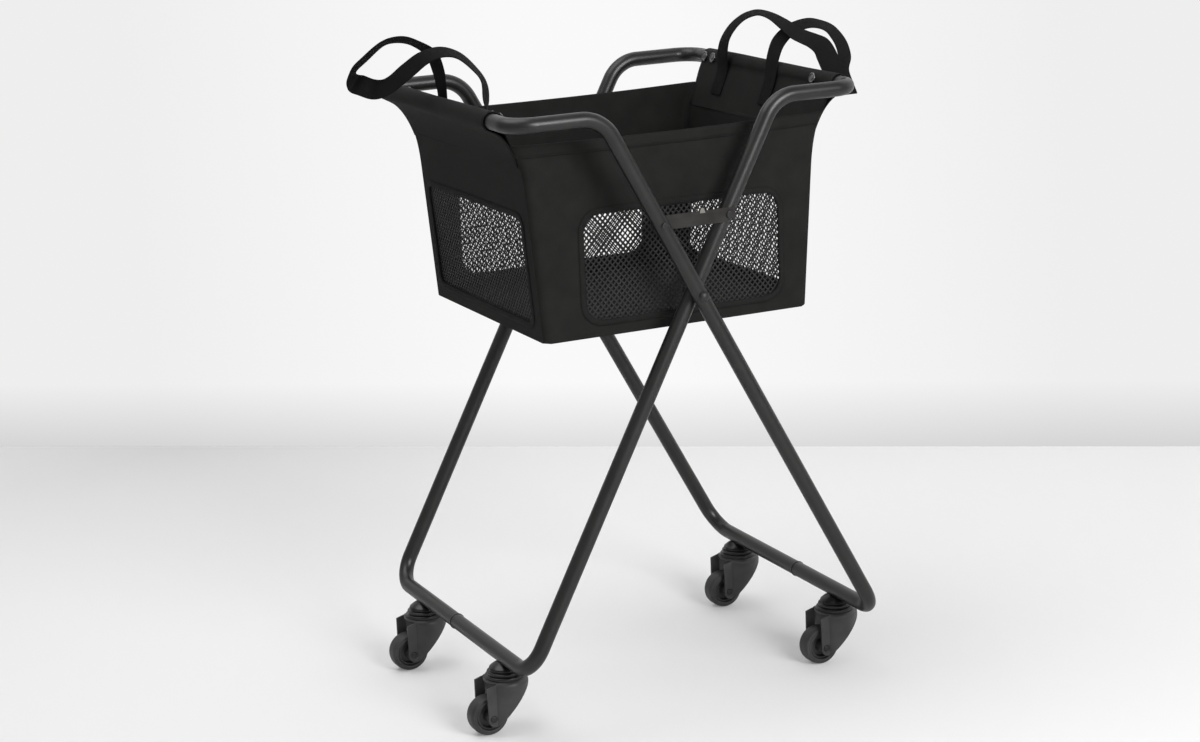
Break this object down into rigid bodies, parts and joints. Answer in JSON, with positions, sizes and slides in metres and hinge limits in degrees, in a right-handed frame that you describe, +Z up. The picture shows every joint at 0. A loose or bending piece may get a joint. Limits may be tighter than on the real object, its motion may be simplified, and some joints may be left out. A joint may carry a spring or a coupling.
{
  "type": "ball cart",
  "caption": "Folding scissor-frame cart on swivel casters with a hung fabric basket, mesh windows and carry straps.",
  "frame": {"origin": "on the ground under the middle of the cart's box", "axes": "+X along the basket towards the right base bar, +Y from the front legs to the back legs, +Z up"},
  "size_m": [0.6942, 0.5486, 0.9768],
  "materials": {
    "frame_paint": "satin grey-black powder coat",
    "caster_metal": "satin black on pressed steel",
    "steel": "blackened steel",
    "tyre_rubber": "matte",
    "hub_plastic": "matte moulded",
    "cloth": "coated woven cloth, matte",
    "mesh_cloth": "open knitted mesh",
    "webbing": "woven webbing"
  },
  "bodies": {
    "right_frame": {"right_base_frame": "frame_paint", "latch_rivet": "steel", "basket_front_panel": "cloth", "basket_back_panel": "cloth", "basket_left_panel": "cloth", "basket_right_panel": "cloth", "basket_floor": "cloth", "front_window_net": "mesh_cloth", "back_window_net": "mesh_cloth", "left_window_net": "mesh_cloth", "right_window_net": "mesh_cloth", "left_bar_sleeve": "cloth", "left_carry_strap": "webbing", "pivot_bolt_front": "steel", "pivot_washer_front": "steel", "pivot_nut_front": "steel", "pivot_bolt_back": "steel", "pivot_washer_back": "steel", "pivot_nut_back": "steel", "caster_front_right_saddle": "caster_metal", "caster_front_right_race": "caster_metal", "caster_back_right_saddle": "caster_metal", "caster_back_right_race": "caster_metal"},
    "left_frame": {"left_base_frame": "frame_paint", "latch_pin": "steel", "right_bar_sleeve": "cloth", "right_carry_strap": "webbing", "caster_front_left_saddle": "caster_metal", "caster_front_left_race": "caster_metal", "caster_back_left_saddle": "caster_metal", "caster_back_left_race": "caster_metal"},
    "latch": {"latch_plate": "steel"},
    "caster_front_left_swivel": {"caster_front_left_fork": "caster_metal", "caster_front_left_axle": "steel", "caster_front_left_axle_nut": "steel"},
    "caster_front_left_wheel": {"caster_front_left_tyre": "tyre_rubber", "caster_front_left_hub": "hub_plastic"},
    "caster_front_right_swivel": {"caster_front_right_fork": "caster_metal", "caster_front_right_axle": "steel", "caster_front_right_axle_nut": "steel"},
    "caster_front_right_wheel": {"caster_front_right_tyre": "tyre_rubber", "caster_front_right_hub": "hub_plastic"},
    "caster_back_left_swivel": {"caster_back_left_fork": "caster_metal", "caster_back_left_axle": "steel", "caster_back_left_axle_nut": "steel"},
    "caster_back_left_wheel": {"caster_back_left_tyre": "tyre_rubber", "caster_back_left_hub": "hub_plastic"},
    "caster_back_right_swivel": {"caster_back_right_fork": "caster_metal", "caster_back_right_axle": "steel", "caster_back_right_axle_nut": "steel"},
    "caster_back_right_wheel": {"caster_back_right_tyre": "tyre_rubber", "caster_back_right_hub": "hub_plastic"}
  },
  "joints": [
    {"name": "frame_fold", "type": "hinge", "parent": "right_frame", "child": "left_frame", "pos_m": [0, 0, 0.6165], "axis": [0, -1, 0], "range_deg": [0, 42], "deforming": ["basket_front_panel", "basket_back_panel", "basket_right_panel", "basket_floor", "front_window_net", "back_window_net", "right_window_net"]},
    {"name": "latch_turn", "type": "hinge", "parent": "right_frame", "child": "latch", "pos_m": [-0.0555, -0.246, 0.7205], "axis": [0, -1, 0], "range_deg": [0, 84]},
    {"name": "caster_front_left_turn", "type": "hinge", "parent": "left_frame", "child": "caster_front_left_swivel", "pos_m": [-0.27, -0.14, 0.085], "axis": [0, 0, 1], "continuous": true},
    {"name": "caster_front_left_roll", "type": "hinge", "parent": "caster_front_left_swivel", "child": "caster_front_left_wheel", "pos_m": [-0.299, -0.14, 0.0285], "axis": [0, 1, 0], "continuous": true},
    {"name": "caster_front_right_turn", "type": "hinge", "parent": "right_frame", "child": "caster_front_right_swivel", "pos_m": [0.27, -0.14, 0.085], "axis": [0, 0, 1], "continuous": true},
    {"name": "caster_front_right_roll", "type": "hinge", "parent": "caster_front_right_swivel", "child": "caster_front_right_wheel", "pos_m": [0.241, -0.14, 0.0285], "axis": [0, 1, 0], "continuous": true},
    {"name": "caster_back_left_turn", "type": "hinge", "parent": "left_frame", "child": "caster_back_left_swivel", "pos_m": [-0.27, 0.164, 0.085], "axis": [0, 0, 1], "continuous": true},
    {"name": "caster_back_left_roll", "type": "hinge", "parent": "caster_back_left_swivel", "child": "caster_back_left_wheel", "pos_m": [-0.299, 0.164, 0.0285], "axis": [0, 1, 0], "continuous": true},
    {"name": "caster_back_right_turn", "type": "hinge", "parent": "right_frame", "child": "caster_back_right_swivel", "pos_m": [0.27, 0.164, 0.085], "axis": [0, 0, 1], "continuous": true},
    {"name": "caster_back_right_roll", "type": "hinge", "parent": "caster_back_right_swivel", "child": "caster_back_right_wheel", "pos_m": [0.241, 0.164, 0.0285], "axis": [0, 1, 0], "continuous": true}
  ],
  "couplings": [
    {"joint": "latch_turn", "follows": "frame_fold", "ratio": 2}
  ]
}
